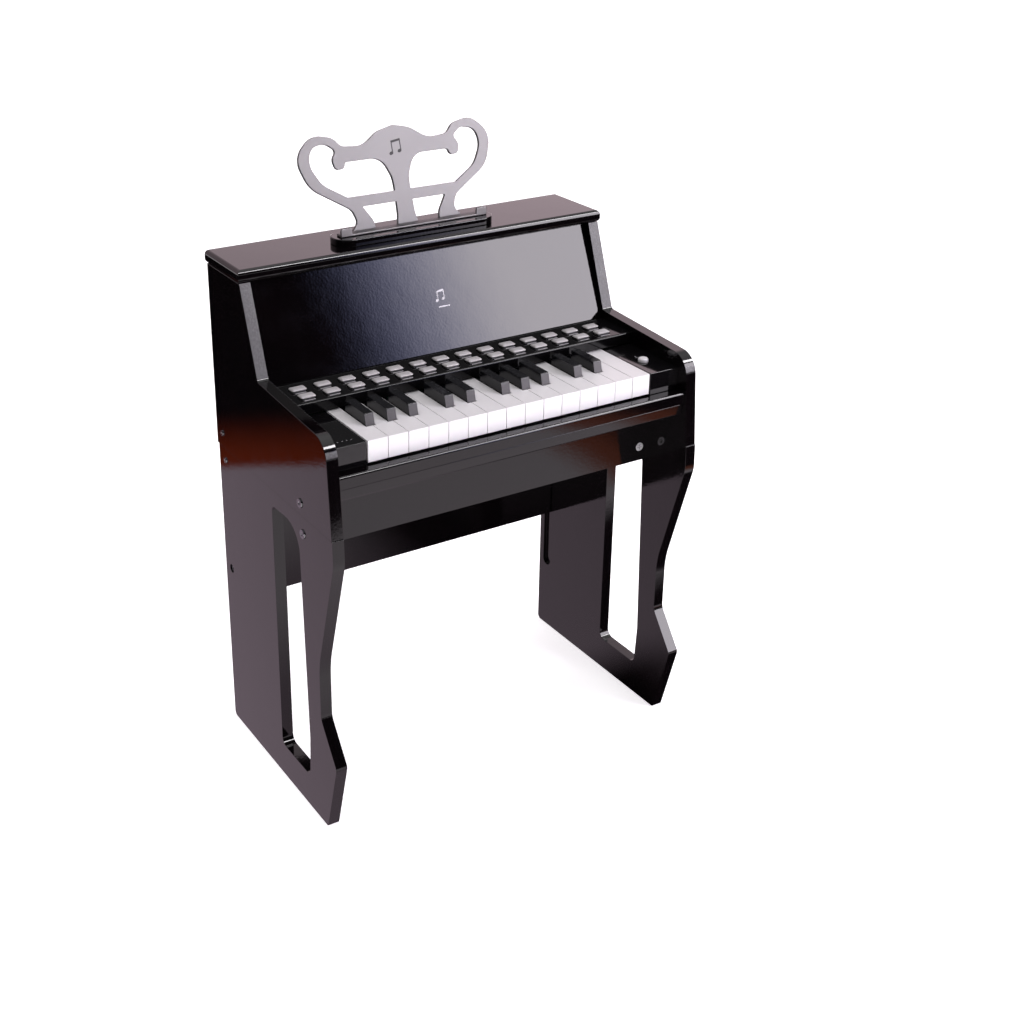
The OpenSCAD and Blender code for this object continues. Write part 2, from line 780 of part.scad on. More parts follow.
// A rubber strip with a dome under each key's plunger
module contact_mat() {
    z0 = key_pcb_z + pcb_t;
    xs = concat([for (i = [0:WHITES - 1]) key_mid(i)],
                [for (k = [0:len(BLACKS) - 1]) black_x(k)]);
    half = WHITES * key_pitch / 2 - 2;
    color(GREY) union() {
        block([-half, half], [plunger_d - 5, plunger_d + 5], [z0, z0 + 1.5]);
        for (x = xs) translate([x, yd(plunger_d), z0])
            cylinder(r1 = 4, r2 = 2.2, h = dome_top - z0);
    }
}

module key_board() {
    half = WHITES * key_pitch / 2 - 1;
    color(GREEN) {
        block([-half, half], [plunger_d - 14, plunger_d + 14],
              [key_pcb_z, key_pcb_z + pcb_t]);
        block([half, power_x + 8], [plunger_d - 14, power_d + 8],
              [key_pcb_z, key_pcb_z + pcb_t]);
    }
    // Power switch under its button
    color(BLACK) block([power_x - 5, power_x + 5], [power_d - 5, power_d + 5],
                       [key_pcb_z + pcb_t, switch_z]);
}

module button_board() {
    half = button_post_x + 4.5;
    post_d = (rear_row_d + front_row_d) / 2;
    post_z = button_pcb_z + pcb_t;
    color(GREEN) difference() {
        block([button_shift - half, button_shift + half],
              [rear_row_d - 10, strip_front_d - shell_t - 1], [button_pcb_z, post_z]);
        for (s = [-1, 1])
            translate([button_shift + s * button_post_x, yd(post_d), button_pcb_z - 1])
                cylinder(r = 1.6, h = pcb_t + 2);
    }
    // Posts up to the panel at both ends, with a screw hole
    color(GREY) for (s = [-1, 1])
        translate([button_shift + s * button_post_x, yd(post_d), post_z])
            difference() {
                cylinder(r = 3, h = strip_z - shell_t - post_z);
                translate([0, 0, -1]) cylinder(r = 1.2, h = 4);
            }
    // Domes under the buttons
    color(STEEL) for (i = [0:button_cols - 1], d = [rear_row_d, front_row_d])
        translate([button_x(i), yd(d), post_z]) cylinder(r = 3, h = dome_h);
}

module main_board() {
    gap = 6;
    d0 = back_inner_d + gap;
    z0 = bed_z + bed_t + 8;
    color(GREEN) block([-60, 60], [d0, d0 + pcb_t], [z0, z0 + 46]);
    color(BLACK) {
        block([-20, 0], [d0 + pcb_t, d0 + pcb_t + 2.5], [z0 + 14, z0 + 34]);
        block([16, 28], [d0 + pcb_t, d0 + pcb_t + 2], [z0 + 18, z0 + 26]);
    }
    color(GREY) {
        for (x = [-45, -34, 40]) translate([x, yd(d0 + pcb_t), z0 + 14])
            rotate([90, 0, 0]) cylinder(r = 4, h = 9);
        block([36, 54], [d0 + pcb_t, d0 + pcb_t + 7], [z0 + 30, z0 + 36]);
    }
    color(STEEL) for (x = [-54, 54], z = [5, 41])
        translate([x, yd(d0), z0 + z]) rotate([-90, 0, 0]) cylinder(r = 2.5, h = gap);
}

// Loudspeaker: a basket rim on the back panel, a cone housing and a magnet
module speaker() {
    color(BLACK) translate([speaker_x, yd(back_inner_d), speaker_z]) rotate([90, 0, 0])
        rotate_extrude() polygon([
            [speaker_r - 8, 0], [speaker_r, 0], [speaker_r, 3],
            [speaker_r - 4, 3], [speaker_r * 0.5, 14], [speaker_r * 0.5, 22], [0, 22],
            [0, 10], [speaker_r * 0.25, 8], [speaker_r - 8, 1.5]]);
}

module battery_box() {
    color(BLACK) difference() {
        block([box_x - box_w / 2, box_x + box_w / 2],
              [back_inner_d, back_inner_d + box_depth], [box_z, box_z + box_h]);
        block([box_x - box_w / 2 + box_wall, box_x + box_w / 2 - box_wall],
              [back_inner_d - 1, back_inner_d + box_depth - box_wall],
              [box_z + box_wall, box_z + box_h - box_wall]);
    }
    // Contact springs and plates
    color(STEEL) for (k = [0:3]) {
        x = box_x + (k - 1.5) * (cell_dia + 0.6);
        block([x - 5, x + 5], [back_inner_d + 4, back_inner_d + 14],
              [box_z + box_wall, box_z + box_wall + 0.6]);
        translate([x, yd(back_inner_d + cell_dia / 2 + 1), box_z + box_wall + 0.6])
            cylinder(r1 = 5, r2 = 3, h = 4);
    }
}

module batteries() {
    spring_h = 4.6;
    color("darkorange") for (k = [0:3])
        translate([box_x + (k - 1.5) * (cell_dia + 0.6),
                   yd(back_inner_d + cell_dia / 2 + 1), box_z + box_wall + spring_h])
            rotate_extrude() polygon([
                [0, 0], [cell_dia / 2, 0], [cell_dia / 2, cell_l - 1.5],
                [2.75, cell_l - 1.5], [2.75, cell_l], [0, cell_l]]);
}

module battery_door() {
    half = box_w / 2 + 2 - door_gap;
    color(BLACK) difference() {
        union() {
            block([box_x - half, box_x + half], [back_inset, back_inset + box_wall],
                  [box_z - 2 + door_gap, box_z + box_h + 2 - door_gap]);
            for (k = [-3:3]) block([box_x + k * 6 - 1, box_x + k * 6 + 1],
                [back_inset - 0.6, back_inset], [box_z + box_h - 16, box_z + box_h - 6]);
        }
        translate([box_x, yd(back_inset + 3), box_z + 8]) rotate([-90, 0, 0])
            cylinder(r = 1.6, h = 10);
    }
}

// ---------- assembly ----------

side_left();
side_right();
leg_left();
leg_right();
top_lid();
front_panel();
back_panel();
key_slip();
key_bed();
front_apron();
rear_stretcher();
stand_base();
stand_ledge();
stand_lyre();
cheek_left();
cheek_right();
button_panel();
key_frame();
key_rod();
contact_mat();
key_board();
button_board();
main_board();
speaker();
battery_box();
battery_door();
batteries();
joining_plates();
frame_bolts();
stretcher_bolts();
power_button();
for (g = [0:3])
    button_group(floor(g / 2), g % 2);
for (i = [0:WHITES - 1])
    white_key(i);
for (k = [0:len(BLACKS) - 1])
    black_key(k);
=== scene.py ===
import bpy
import json
import math
from mathutils import Euler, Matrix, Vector


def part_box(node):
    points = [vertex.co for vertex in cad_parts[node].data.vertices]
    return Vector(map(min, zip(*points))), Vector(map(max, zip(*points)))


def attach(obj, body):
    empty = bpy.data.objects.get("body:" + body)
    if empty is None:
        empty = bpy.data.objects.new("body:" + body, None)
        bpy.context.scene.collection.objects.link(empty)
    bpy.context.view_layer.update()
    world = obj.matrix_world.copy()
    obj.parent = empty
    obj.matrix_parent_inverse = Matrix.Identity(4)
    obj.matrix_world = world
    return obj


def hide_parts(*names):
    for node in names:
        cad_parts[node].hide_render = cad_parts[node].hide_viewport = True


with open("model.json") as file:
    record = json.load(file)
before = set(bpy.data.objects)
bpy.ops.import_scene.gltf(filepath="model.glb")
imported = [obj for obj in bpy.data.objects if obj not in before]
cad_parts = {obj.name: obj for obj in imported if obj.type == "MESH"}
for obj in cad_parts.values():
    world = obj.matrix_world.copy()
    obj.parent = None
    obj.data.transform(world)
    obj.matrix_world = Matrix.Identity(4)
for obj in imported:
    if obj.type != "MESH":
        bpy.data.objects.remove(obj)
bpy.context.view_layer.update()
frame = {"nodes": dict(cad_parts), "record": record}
NODES = frame["nodes"]
SLOT_OF = {p["node"]: p["material_slot"] for p in frame["record"]["subparts"]}
SCENE = bpy.context.scene


# ---------- camera, floor and light ----------

# The camera, fitted to the photograph: millimetres, shares of the picture, metres, degrees
SENSOR, LENS = 36.0, 53.35
SHIFT = (0.066, -0.115)
CAMERA_PLACE = (-0.7999, -1.3051, 1.0425)
CAMERA_TURN = (67.62, -0.08, -30.99)
CLIP = (0.05, 60.0)

MIDDLE = (0.0, 0.0, 0.5)
WARM_WHITE = (1.0, 0.97, 1.0)
# Cards that light the object: centre, point aimed at, size, colour, strength, share of the
# width where the glow starts and where it is full, and its colour where it starts
SOFTBOX = ((1.3, -1.9, 1.15), MIDDLE, (1.7, 1.5), (0.98, 0.925, 1.0), 10.5, (0.24, 0.56),
           (0.5, 0.55, 1.0))
TOP_LIGHT = ((-0.1, -0.35, 1.65), MIDDLE, (1.2, 1.0), WARM_WHITE, 1.0, (0.0, 0.1), WARM_WHITE)
STRIP_LIGHT = ((1.0, -1.15, 1.95), (0.6, 0.0, 0.5), (2.4, 0.34), WARM_WHITE, 28.0, (0.0, 0.1),
               WARM_WHITE)

FLOOR_SIZE, GLOSS_FLOOR_SIZE = 24.0, 6.0
FLOOR_GAP = 0.0002                       # keeps the two floors off the feet and each other
FLOOR_GLOW = 0.7
# What the lacquer reflects low down
FRONT_GREY = (1.30, 1.18, 1.26, 1)
REAR_GREY = (0.62, 0.49, 0.58, 1)
CLOTH_BLACK = (0.004, 0.003, 0.004, 1)
CLOTH_LEFT = (0.34, 0.044, 0.012, 1)
CLOTH_RIGHT = (0.75, 0.22, 0.12, 1)
CLOTH_ACROSS = (0.883, 0.469)            # the left cloth's edge runs at 28 degrees
BEHIND_TINT = (1.0, 0.80, 0.87, 1)
ROOM_WHITE = (1.0, 0.99, 1.0, 1)
BACKDROP = 1.2


def add_camera():
    """The camera that took the photograph."""
    data = bpy.data.cameras.new("camera")
    data.sensor_width = SENSOR
    data.lens = LENS
    data.shift_x, data.shift_y = SHIFT
    data.clip_start, data.clip_end = CLIP
    cam = bpy.data.objects.new("camera", data)
    cam.location = CAMERA_PLACE
    cam.rotation_euler = Euler([math.radians(a) for a in CAMERA_TURN], "XYZ")
    SCENE.collection.objects.link(cam)
    SCENE.camera = cam


class Graph:
    """A material's or world's node tree, with short calls for its nodes."""

    def __init__(self, owner):
        owner.use_nodes = True
        self.tree = owner.node_tree
        self.tree.nodes.clear()

    def add(self, kind, **inputs):
        """A new node. Each input is named with _ for a space."""
        node = self.tree.nodes.new("ShaderNode" + kind)
        for key, value in inputs.items():
            self.set(node.inputs[key.replace("_", " ")], value)
        return node

    def set(self, socket, value):
        """Link a socket to another one, or give it a constant."""
        if isinstance(value, bpy.types.NodeSocket):
            self.tree.links.new(value, socket)
        else:
            socket.default_value = value

    def ramp(self, value, low, high, to_low=0.0, to_high=1.0):
        """A smooth step from to_low at low to to_high at high."""
        node = self.tree.nodes.new("ShaderNodeMapRange")
        node.interpolation_type = "SMOOTHSTEP"
        self.set(node.inputs["Value"], value)
        for key, number in (("From Min", low), ("From Max", high), ("To Min", to_low),
                            ("To Max", to_high)):
            node.inputs[key].default_value = number
        return node.outputs[0]

    def math(self, operation, a, b):
        node = self.tree.nodes.new("ShaderNodeMath")
        node.operation = operation
        self.set(node.inputs[0], a)
        self.set(node.inputs[1], b)
        return node.outputs[0]

    def mix(self, factor, a, b):
        node = self.tree.nodes.new("ShaderNodeMix")
        node.data_type = "RGBA"
        self.set(node.inputs[0], factor)
        self.set(node.inputs[6], a)
        self.set(node.inputs[7], b)
        return node.outputs[2]

    def coordinate(self, kind="Object"):
        return self.add("TexCoord").outputs[kind]

    def axes(self, vector):
        return self.add("SeparateXYZ", Vector=vector).outputs

    def noise(self, scale, detail=2.0, vector=None):
        node = self.add("TexNoise", Scale=scale, Detail=detail)
        self.set(node.inputs["Vector"], vector or self.coordinate())
        return node.outputs[0]

    def bump(self, height, strength, distance, normal=None):
        node = self.add("Bump", Strength=strength, Distance=distance, Height=height)
        if normal:
            self.set(node.inputs["Normal"], normal)
        return node.outputs[0]

    def facing(self, direction, low, high):
        """1 on faces whose own normal points along direction, 0 on the others."""
        node = self.add("VectorMath", Vector=self.coordinate("Normal"))
        node.operation = "DOT_PRODUCT"
        node.inputs[1].default_value = direction
        return self.ramp(node.outputs["Value"], low, high)

    def surface(self, shader):
        self.add("OutputMaterial", Surface=shader.outputs[0])


def plane_object(name, size, material):
    """A flat card in the XY plane that belongs to the stage, not to the object."""
    w, h = size[0] / 2, size[1] / 2
    mesh = bpy.data.meshes.new(name)
    mesh.from_pydata([(-w, -h, 0), (w, -h, 0), (w, h, 0), (-w, h, 0)], [], [(0, 1, 2, 3)])
    mesh.materials.append(material)
    ob = bpy.data.objects.new(name, mesh)
    SCENE.collection.objects.link(ob)
    return ob


def light_card(name, centre, target, size, colour, strength, fade, edge):
    """A card that faces target and glows. Seen from target, the glow fades in from the
    left, between the two shares of the width in fade, starting with the colour edge."""
    mat = bpy.data.materials.new(name)
    g = Graph(mat)
    x = g.axes(g.coordinate())["X"]
    start, end = [(share - 0.5) * size[0] for share in fade]
    g.surface(g.add("Emission", Strength=g.ramp(x, start, end, 0.0, strength),
                    Color=g.mix(g.ramp(x, start, end), (*edge, 1), (*colour, 1))))
    card = plane_object(name, size, mat)
    card.location = centre
    card.rotation_euler = (Vector(target) - Vector(centre)).to_track_quat("-Z", "Y").to_euler()
    card.visible_camera = False
    card.visible_shadow = False
    return card


def add_gloss_floor():
    """What the lacquer reflects low down: grey behind and beside the object, brighter in
    front, and dark cloths at the left rear, the right front and farther forward. Only
    gloss sees it."""
    mat = bpy.data.materials.new("gloss_floor")
    g = Graph(mat)
    x, y, _ = g.axes(g.coordinate())
    across = g.math("SUBTRACT", g.math("MULTIPLY", y, CLOTH_ACROSS[0]),
                    g.math("MULTIPLY", x, CLOTH_ACROSS[1]))
    light = g.mix(g.ramp(y, -0.40, -0.12), FRONT_GREY, REAR_GREY)
    # Shade under the right half of the cabinet
    under = g.math("MULTIPLY", g.ramp(x, 0.02, 0.20), g.ramp(y, -0.38, -0.30))
    light = g.mix(g.math("MULTIPLY", under, g.ramp(y, 0.05, -0.05)), light, CLOTH_BLACK)
    # The cloths, each brown at its near edge and black farther out
    brown_left = g.mix(g.ramp(across, 0.93, 1.16), CLOTH_LEFT, CLOTH_BLACK)
    brown_right = g.mix(g.ramp(x, 0.60, 0.72), CLOTH_RIGHT, CLOTH_BLACK)
    light = g.mix(g.ramp(across, 0.91, 0.93), light, brown_left)
    ahead = g.math("LESS_THAN", y, -0.4)
    light = g.mix(g.math("MULTIPLY", g.ramp(x, 0.50, 0.60), ahead), light, brown_right)
    light = g.mix(g.ramp(y, -0.98, -1.15), light, CLOTH_BLACK)
    g.surface(g.add("Emission", Color=light, Strength=1.0))
    card = plane_object("gloss_floor", (GLOSS_FLOOR_SIZE, GLOSS_FLOOR_SIZE), mat)
    card.location.z = FLOOR_GAP
    card.visible_camera = False
    card.visible_shadow = False
    card.visible_diffuse = False


def add_world():
    """White to the camera. To the object, a band of light behind that grows to the right,
    and a bright ceiling."""
    world = bpy.data.worlds.new("world")
    SCENE.world = world
    g = Graph(world)
    x, y, z = g.axes(g.coordinate("Generated"))
    behind = g.math("MULTIPLY", g.ramp(y, 0.15, 0.6), g.ramp(z, 0.8, 0.45))
    strength = g.math("MULTIPLY", behind, g.ramp(x, -0.1, 0.8, 0.62, 1.35))
    strength = g.math("ADD", strength, g.ramp(z, 0.5, 0.95, 0.03, 1.35))
    room = g.add("Background", Strength=strength,
                 Color=g.mix(behind, ROOM_WHITE, BEHIND_TINT))
    white = g.add("Background", Color=(1, 1, 1, 1), Strength=BACKDROP)
    seen = g.add("LightPath").outputs["Is Camera Ray"]
    mix = g.tree.nodes.new("ShaderNodeMixShader")
    g.set(mix.inputs[0], seen)
    g.set(mix.inputs[1], room.outputs[0])
    g.set(mix.inputs[2], white.outputs[0])
    g.add("OutputWorld", Surface=mix.outputs[0])


def add_stage():
    """A pale floor, the world and the lights."""
    mat = bpy.data.materials.new("floor")
    g = Graph(mat)
    bsdf = g.add("BsdfPrincipled", Base_Color=(0.9, 0.9, 0.9, 1), Roughness=0.8,
                 Emission_Color=(1.0, 0.98, 1.0, 1), Emission_Strength=FLOOR_GLOW)
    g.surface(bsdf)
    plane_object("floor", (FLOOR_SIZE, FLOOR_SIZE), mat).location.z = -FLOOR_GAP
    add_world()
    SCENE.view_settings.view_transform = "Standard"
    light_card("softbox_right", *SOFTBOX)
    light_card("top_light", *TOP_LIGHT).visible_glossy = False
    light_card("strip_light", *STRIP_LIGHT).visible_diffuse = False
    add_gloss_floor()


# ---------- materials ----------

# Most of a noise texture's values lie between these two
LOW, HIGH = 0.3, 0.7
# Directions of the sloping faces that have a look of their own
SIDE_SLOPE = (0.0, -0.9397, 0.3420)
STAND_SLOPE = (0.0, -0.951, 0.309)
KEY_SLOPE = (0.0, -0.974, 0.225)
FORWARD = (0.0, -1.0, 0.0)
# The pillow buttons are painted dark below this depth under their crowns: painted shade for the
# gap round each button
PAINTED_SHADE_DEPTH, PAINTED_SHADE_FADE = 0.0023, 0.0006


def principled(g, **inputs):
    g.surface(g.add("BsdfPrincipled", **inputs))


def lacquer(g, edge=None):
    """Black lacquer over fibreboard: a fine orange peel under a clear gloss. Where the
    normal turns towards edge, the sawn edge of the board shows through as a grain."""
    peel = g.noise(420.0, 2.0)
    normal = g.bump(g.noise(30.0, 2.0), 0.02, 0.004, g.bump(peel, 0.07, 0.0005))
    tone = g.mix(g.noise(14.0, 3.0), (0.0012, 0.0010, 0.0014, 1), (0.0030, 0.0018, 0.0022, 1))
    rough = g.ramp(g.noise(40.0, 4.0), LOW, HIGH, 0.03, 0.08)
    if edge:
        sawn = g.facing(edge, 0.985, 0.997)
        rough = g.math("ADD", rough, g.math("MULTIPLY", sawn, 0.33))
        fibre = g.math("MULTIPLY", sawn, g.noise(700.0, 3.0))
        tone = g.mix(g.math("MULTIPLY", fibre, 0.6), tone, (0.22, 0.21, 0.22, 1))
        normal = g.bump(fibre, 0.5, 0.0005, normal)
    principled(g, Base_Color=tone, Roughness=rough, Normal=normal, IOR=1.46)


def side_lacquer(g):
    lacquer(g, SIDE_SLOPE)


def stand_lacquer(g):
    """Satin grey on the faces turned forward, near black on all the other faces."""
    face = g.facing(STAND_SLOPE, 0.78, 0.9)
    grain = g.noise(700.0, 3.0)
    shade = g.mix(g.noise(18.0, 2.0), (0.215, 0.20, 0.205, 1), (0.25, 0.235, 0.24, 1))
    principled(g, Base_Color=g.mix(face, (0.012, 0.010, 0.012, 1), shade),
               Roughness=g.ramp(grain, LOW, HIGH, 0.34, 0.44), Normal=g.bump(grain, 0.05, 0.0003))


def panel_plastic(g, shine=0.5):
    """Gloss black moulded plastic."""
    grain = g.noise(900.0, 2.0)
    tone = g.mix(g.noise(30.0), (0.0020, 0.0018, 0.0022, 1), (0.0040, 0.0036, 0.0042, 1))
    principled(g, Base_Color=tone, Roughness=g.ramp(g.noise(120.0, 3.0), LOW, HIGH, 0.05, 0.10),
               Normal=g.bump(grain, 0.02, 0.0003), Specular_IOR_Level=shine)


def button_plastic(g):
    """The same plastic, reflecting less."""
    panel_plastic(g, 0.2)


def frame_plastic(g):
    grain = g.noise(1600.0, 3.0)
    tone = g.mix(g.noise(60.0), (0.020, 0.020, 0.022, 1), (0.030, 0.030, 0.032, 1))
    principled(g, Base_Color=tone, Roughness=g.ramp(grain, LOW, HIGH, 0.45, 0.62),
               Normal=g.bump(grain, 0.25, 0.0003))


def metal(g, light, face=None):
    """Metal with fine lines along X. Faces turned forward take the colour face: a painted
    highlight, for the glint on the barrel nuts' ends.
    """
    scratch = g.add("Mapping", Vector=g.coordinate(), Scale=(60.0, 900.0, 900.0))
    lines = g.noise(1.0, 4.0, scratch.outputs[0])
    shade = [tuple(c * k for c in light) + (1,) for k in (0.75, 1.1)]
    tone = g.mix(lines, *shade)
    bare = 1.0
    if face:
        # Painted highlight: faces turned forward are paler and less metallic
        turned = g.facing(FORWARD, 0.9, 0.97)
        tone = g.mix(turned, tone, face)
        bare = g.ramp(turned, 0.0, 1.0, 1.0, 0.3)
    principled(g, Base_Color=tone, Metallic=bare,
               Roughness=g.ramp(lines, LOW, HIGH, 0.18, 0.34), Normal=g.bump(lines, 0.1, 0.0002))


def steel(g):
    metal(g, (0.62, 0.62, 0.64))


def bolt_metal(g):
    # The pale forward colour is a painted highlight on the nut ends
    metal(g, (0.20, 0.20, 0.22), (0.75, 0.74, 0.76, 1))


def rubber(g, dark, light, painted_shade_height=None):
    """Moulded rubber. Below the given height it is painted dark: painted shade, as in the gap
    round a button.
    """
    grain = g.noise(1400.0, 2.0)
    tone = g.mix(g.noise(80.0, 3.0), dark, light)
    if painted_shade_height:
        # Painted shade: near black below the given height
        above = g.ramp(g.axes(g.coordinate())["Z"], painted_shade_height, painted_shade_height + PAINTED_SHADE_FADE)
        tone = g.mix(above, (0.03, 0.028, 0.03, 1), tone)
    principled(g, Base_Color=tone, Sheen_Weight=0.08,
               Roughness=g.ramp(grain, LOW, HIGH, 0.42, 0.58), Normal=g.bump(grain, 0.12, 0.0002))


def silicone(g):
    rubber(g, (0.26, 0.26, 0.28, 1), (0.33, 0.33, 0.35, 1))


def silicone_grey(g):
    # Painted shade on the lower sides of the pillow buttons
    rubber(g, (0.43, 0.41, 0.415, 1), (0.50, 0.475, 0.48, 1),
           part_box("buttons_front_left")[1][2] - PAINTED_SHADE_DEPTH)


def circuit_board(g):
    traces = g.add("TexBrick", Scale=180.0, Mortar_Size=0.03, Brick_Width=1.2,
                   Row_Height=0.35, Color1=(0.02, 0.16, 0.07, 1), Color2=(0.015, 0.13, 0.06, 1),
                   Mortar=(0.05, 0.26, 0.12, 1))
    g.set(traces.inputs["Vector"], g.coordinate())
    principled(g, Base_Color=traces.outputs[0], Roughness=0.3,
               Normal=g.bump(traces.outputs[1], 0.3, 0.0001))


def speaker_black(g):
    ridges = g.add("TexWave", Scale=90.0, Distortion=1.5)
    g.set(ridges.inputs["Vector"], g.coordinate())
    tone = g.mix(ridges.outputs[1], (0.01, 0.01, 0.01, 1), (0.03, 0.03, 0.032, 1))
    principled(g, Base_Color=tone, Roughness=0.75, Normal=g.bump(ridges.outputs[1], 0.3, 0.0004))


def cell_wrap(g):
    """A plain orange sleeve with a black band."""
    z = g.axes(g.coordinate())["Z"]
    band = g.ramp(g.noise(500.0, 2.0), 0.4, 0.6, 0.0, 0.12)
    tone = g.mix(g.math("GREATER_THAN", g.math("PINGPONG", z, 0.03), 0.022),
                 (0.42, 0.17, 0.03, 1), (0.02, 0.02, 0.022, 1))
    principled(g, Base_Color=g.mix(band, tone, (0.5, 0.3, 0.1, 1)), Metallic=0.5, Roughness=0.3)


def white_plastic(g):
    tone = g.mix(g.noise(12.0, 1.0), (0.83, 0.805, 0.815, 1), (0.86, 0.84, 0.85, 1))
    grain = g.noise(260.0, 1.0)
    principled(g, Base_Color=tone, Roughness=g.ramp(g.noise(90.0, 1.0), LOW, HIGH, 0.30, 0.36),
               Normal=g.bump(grain, 0.015, 0.0003))


def black_key_plastic(g):
    """Satin black, duller on the sloping front of each key and painted lighter there: painted
    light where the lamps fall on the fronts.
    """
    grain = g.noise(1500.0, 3.0)
    tone = g.mix(g.noise(70.0), (0.004, 0.004, 0.005, 1), (0.008, 0.008, 0.010, 1))
    # Painted light: the sloping fronts get a lighter colour for the light falling on them
    painted_lit_fronts = g.facing(KEY_SLOPE, 0.97, 0.995)
    tone = g.mix(painted_lit_fronts, tone, (0.100, 0.094, 0.098, 1))
    rough = g.math("ADD", g.ramp(grain, LOW, HIGH, 0.12, 0.18), g.math("MULTIPLY", painted_lit_fronts, 0.22))
    principled(g, Base_Color=tone, Roughness=rough, Specular_IOR_Level=0.3,
               Normal=g.bump(grain, 0.08, 0.0002))


def print_white(g):
    speckle = g.noise(2500.0, 2.0)
    principled(g, Base_Color=g.mix(speckle, (0.62, 0.60, 0.64, 1), (0.80, 0.78, 0.82, 1)),
               Roughness=0.45, Normal=g.bump(speckle, 0.1, 0.0001))


def print_grey(g):
    speckle = g.noise(2500.0, 2.0)
    principled(g, Base_Color=g.mix(speckle, (0.42, 0.40, 0.42, 1), (0.56, 0.54, 0.56, 1)),
               Roughness=0.5, Normal=g.bump(speckle, 0.1, 0.0001))


def engraved(g):
    speckle = g.noise(2500.0, 2.0)
    principled(g, Base_Color=g.mix(speckle, (0.012, 0.010, 0.012, 1), (0.03, 0.026, 0.03, 1)),
               Roughness=0.7, Normal=g.bump(speckle, 0.3, 0.0001))


MAKERS = {f.__name__: f for f in (
    lacquer, side_lacquer, stand_lacquer, panel_plastic, button_plastic, frame_plastic, steel,
    bolt_metal, silicone, silicone_grey, circuit_board, speaker_black, cell_wrap,
    white_plastic, black_key_plastic, print_white, print_grey, engraved)}
LOOKS = {}


def material(name):
    """The material of that name, made on first use."""
    if name not in LOOKS:
        LOOKS[name] = bpy.data.materials.new("look_" + name)
        MAKERS[name](Graph(LOOKS[name]))
    return LOOKS[name]


# ---------- CAD nodes ----------

WELD_DISTANCE = 1e-5
FLAT_ANGLE = math.radians(1.0)           # faces closer than this are one flat face
EDGE_ANGLE = math.radians(30.0)          # edges sharper than this are rounded
EDGE_STEPS = 2
EDGE_WIDTH = {"lacquer": 0.0010, "panel_plastic": 0.0005, "white_plastic": 0.0005,
              "black_key_plastic": 0.0005, "bolt_metal": 0.0003, "frame_plastic": 0.0003}
OWN_LOOK = {"stand_lyre": "stand_lacquer", "stand_ledge": "stand_lacquer",
            "side_left": "side_lacquer", "side_right": "side_lacquer",
            "button_panel": "button_plastic"}


def even_shading(ob):
    """Shade smoothly, with the larger faces deciding the normals."""
    ob.modifiers.new("normals", "WEIGHTED_NORMAL").keep_sharp = True


def round_edges(ob, width):
    weld = ob.modifiers.new("weld", "WELD")
    weld.merge_threshold = WELD_DISTANCE
    flat = ob.modifiers.new("flat", "DECIMATE")
    flat.decimate_type = "DISSOLVE"
    flat.angle_limit = FLAT_ANGLE
    bevel = ob.modifiers.new("bevel", "BEVEL")
    bevel.width = width
    bevel.segments = EDGE_STEPS
    bevel.limit_method = "ANGLE"
    bevel.angle_limit = EDGE_ANGLE
    even_shading(ob)
    for p in ob.data.polygons:
        p.use_smooth = True


def dress_nodes():
    """Give each CAD node its material and its rounded edges."""
    for name, ob in NODES.items():
        slot = SLOT_OF[name]
        ob.data.materials.clear()
        ob.data.materials.append(material(OWN_LOOK.get(name, slot)))
        if slot in EDGE_WIDTH:
            round_edges(ob, EDGE_WIDTH[slot])


# ---------- added pieces ----------

GROUPS = ("buttons_rear_left", "buttons_rear_right", "buttons_front_left",
          "buttons_front_right")
BUTTONS_IN_GROUP = 7
# A button's outline, and the flange that holds it under the panel
BUTTON_W, BUTTON_L, BUTTON_R = 0.017, 0.011, 0.002
FLANGE, FLANGE_T = 0.0013, 0.002
# Rings of a pillow button: inset from the outline, and depth below its crown
PILLOW = ((0.0012, 0.0031), (0.0004, 0.0023), (0.0, 0.0017), (0.0003, 0.0011),
          (0.0010, 0.0006), (0.0022, 0.0002), (0.0038, 0.0))
CORNER_STEPS = 5
OVAL_STEPS = 28

MARK_LIFT = 0.00006                      # how far a printed mark stands off its surface
PANEL_T = 0.006                          # the front panel's thickness along Y
PANEL_MARK_H, STAND_MARK_H = 0.013, 0.017
PANEL_MARK_UP, PANEL_LINE_UP, STAND_MARK_UP = 0.0605, 0.0485, 0.0845
STAND_TILT = math.radians(18)
DASH_AHEAD, DASH_HALF, DASH_T = 0.0023, 0.0062, 0.0014
SIGN_T = 0.0006

SCREW_R = 0.0032
SCREW_STEPS = 32
# Rings of a screw head: share of its radius, and height as a share of its radius
SCREW_RINGS = ((1.0, 0.0), (1.0, 0.12), (0.9, 0.3), (0.7, 0.42), (0.48, 0.48))
SCREW_INSET = 0.012
SCREW_FOOT = 0.006


def add_piece(name, verts, faces, look, body, smooth=True):
    """A new mesh piece that rides on a body of the frame."""
    mesh = bpy.data.meshes.new(name)
    mesh.from_pydata(verts, [], faces)
    mesh.update()
    mesh.materials.append(material(look))
    for p in mesh.polygons:
        p.use_smooth = smooth
    ob = bpy.data.objects.new(name, mesh)
    SCENE.collection.objects.link(ob)
    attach(ob, body)
    return ob


def rounded_rectangle(w, l, r):
    """Corner points of a rounded rectangle with half sizes w and l, anticlockwise."""
    pts = []
    for k, (sx, sy) in enumerate(((1, 1), (-1, 1), (-1, -1), (1, -1))):
        for i in range(CORNER_STEPS + 1):
            a = math.radians(90 * k + 90 * i / CORNER_STEPS)
            pts.append((sx * (w - r) + r * math.cos(a), sy * (l - r) + r * math.sin(a)))
    return pts


def button_middles(node):
    """Where the middle of each button of a group lies along X."""
    lo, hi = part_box(node)
    pitch = (hi[0] - lo[0] - BUTTON_W - 2 * FLANGE) / (BUTTONS_IN_GROUP - 1)
    return [lo[0] + FLANGE + BUTTON_W / 2 + i * pitch for i in range(BUTTONS_IN_GROUP)]


